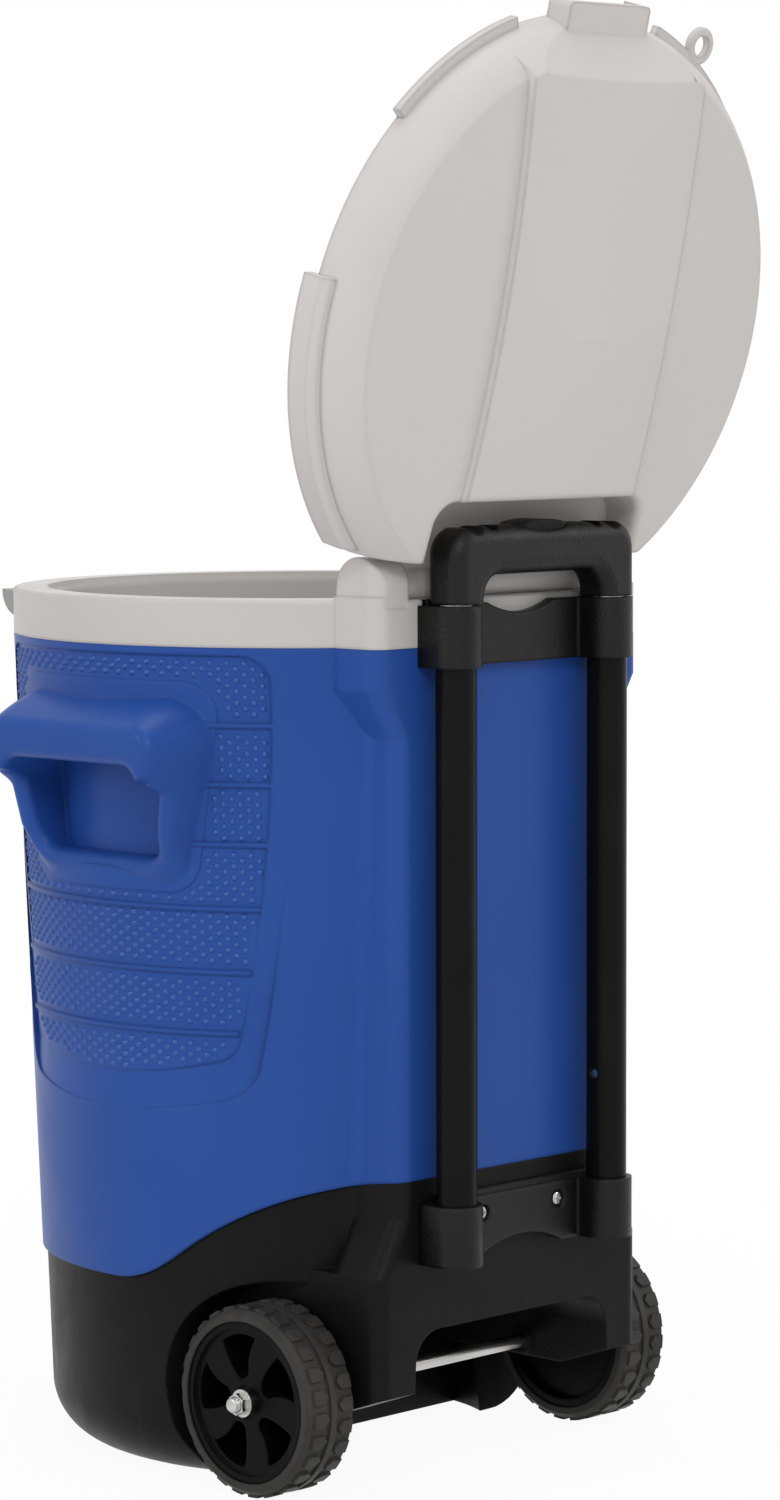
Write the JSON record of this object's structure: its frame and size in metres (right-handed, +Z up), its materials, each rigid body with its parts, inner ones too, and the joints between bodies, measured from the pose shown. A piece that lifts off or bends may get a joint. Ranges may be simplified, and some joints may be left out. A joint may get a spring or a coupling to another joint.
{
  "type": "wheeled drinks cooler",
  "caption": "Round insulated drinks cooler on wheels with a hinged domed lid, front latch and tap, side grips, and a telescoping tow handle with a thumb release.",
  "frame": {"origin": "on the floor, on the sole of the front foot, under the axis of the round tub", "axes": "+Z up along the tub's axis, -Y towards the latch and the tap, +Y towards the tow handle, +X towards the side that is at the right of someone facing the latch"},
  "size_m": [0.366, 0.4585, 0.7918],
  "materials": {
    "blue_plastic": "satin moulded",
    "white_plastic": "smooth moulded",
    "foam": "cellular",
    "black_plastic": "fine grain",
    "grey_plastic": "satin",
    "black_metal": "satin powder coat",
    "steel": "bright",
    "dark_steel": "blackened",
    "tyre": "moulded tread",
    "rubber": "soft"
  },
  "bodies": {
    "cooler": {"outer_shell": "blue_plastic", "liner": "white_plastic", "insulation_foam": "foam", "collar": "white_plastic", "base": "black_plastic", "axle": "steel", "axle_nuts": "steel", "axle_washers": "steel", "axle_spacers": "black_plastic", "upper_bracket": "black_plastic", "lower_bracket": "black_plastic", "upper_bracket_screws": "dark_steel", "lower_bracket_screws": "steel", "outer_tube_left": "black_metal", "outer_tube_right": "black_metal", "hinge_pin_left": "steel", "hinge_pin_right": "steel", "latch_pin": "steel", "tap_body": "white_plastic", "tap_gasket": "rubber", "tap_nut": "white_plastic"},
    "lid": {"lid_shell": "white_plastic", "lid_plate": "white_plastic", "lid_foam": "foam"},
    "latch": {"front_latch": "grey_plastic"},
    "wheel_left": {"wheel_rim_left": "black_plastic", "tyre_left": "tyre"},
    "wheel_right": {"wheel_rim_right": "black_plastic", "tyre_right": "tyre"},
    "tow_handle": {"handle_grip": "black_plastic", "inner_tube_left": "steel", "inner_tube_right": "steel", "tube_guide_left": "black_plastic", "tube_guide_right": "black_plastic", "button_spring": "steel"},
    "release": {"release_button": "black_plastic", "release_bar": "black_plastic", "push_rod_left": "steel", "push_rod_right": "steel"},
    "lock_left": {"lock_pin_left": "steel"},
    "lock_right": {"lock_pin_right": "steel"},
    "tap": {"tap_button": "black_plastic"}
  },
  "joints": [
    {"name": "lid_hinge", "type": "hinge", "parent": "cooler", "child": "lid", "pos_m": [0, 0.141, 0.486], "axis": [1, 0, 0], "range_deg": [0, 104]},
    {"name": "latch_pivot", "type": "hinge", "parent": "cooler", "child": "latch", "pos_m": [0, -0.172, 0.47], "axis": [-1, 0, 0], "range_deg": [0, 90]},
    {"name": "handle_slide", "type": "slide", "parent": "cooler", "child": "tow_handle", "axis": [0, 0, 1], "range_m": [0, 0.009]},
    {"name": "release_press", "type": "slide", "parent": "tow_handle", "child": "release", "axis": [0, 0, -1], "range_m": [0, 0.004], "stiffness_N_per_m": 600, "springref_m": -0.006, "deforming": ["button_spring"]},
    {"name": "lock_left_slide", "type": "slide", "parent": "tow_handle", "child": "lock_left", "axis": [1, 0, 0], "range_m": [0, 0.004]},
    {"name": "lock_right_slide", "type": "slide", "parent": "tow_handle", "child": "lock_right", "axis": [-1, 0, 0], "range_m": [0, 0.004]},
    {"name": "wheel_left_spin", "type": "hinge", "parent": "cooler", "child": "wheel_left", "pos_m": [0.125, 0.09335, 0.05155], "axis": [1, 0, 0], "continuous": true},
    {"name": "wheel_right_spin", "type": "hinge", "parent": "cooler", "child": "wheel_right", "pos_m": [-0.125, 0.09335, 0.05155], "axis": [1, 0, 0], "continuous": true},
    {"name": "tap_press", "type": "slide", "parent": "cooler", "child": "tap", "axis": [0, 1, 0], "range_m": [0, 0.006], "stiffness_N_per_m": 500, "springref_m": -0.004}
  ],
  "couplings": [
    {"joint": "lock_left_slide", "follows": "release_press", "ratio": 1},
    {"joint": "lock_right_slide", "follows": "release_press", "ratio": 1}
  ]
}
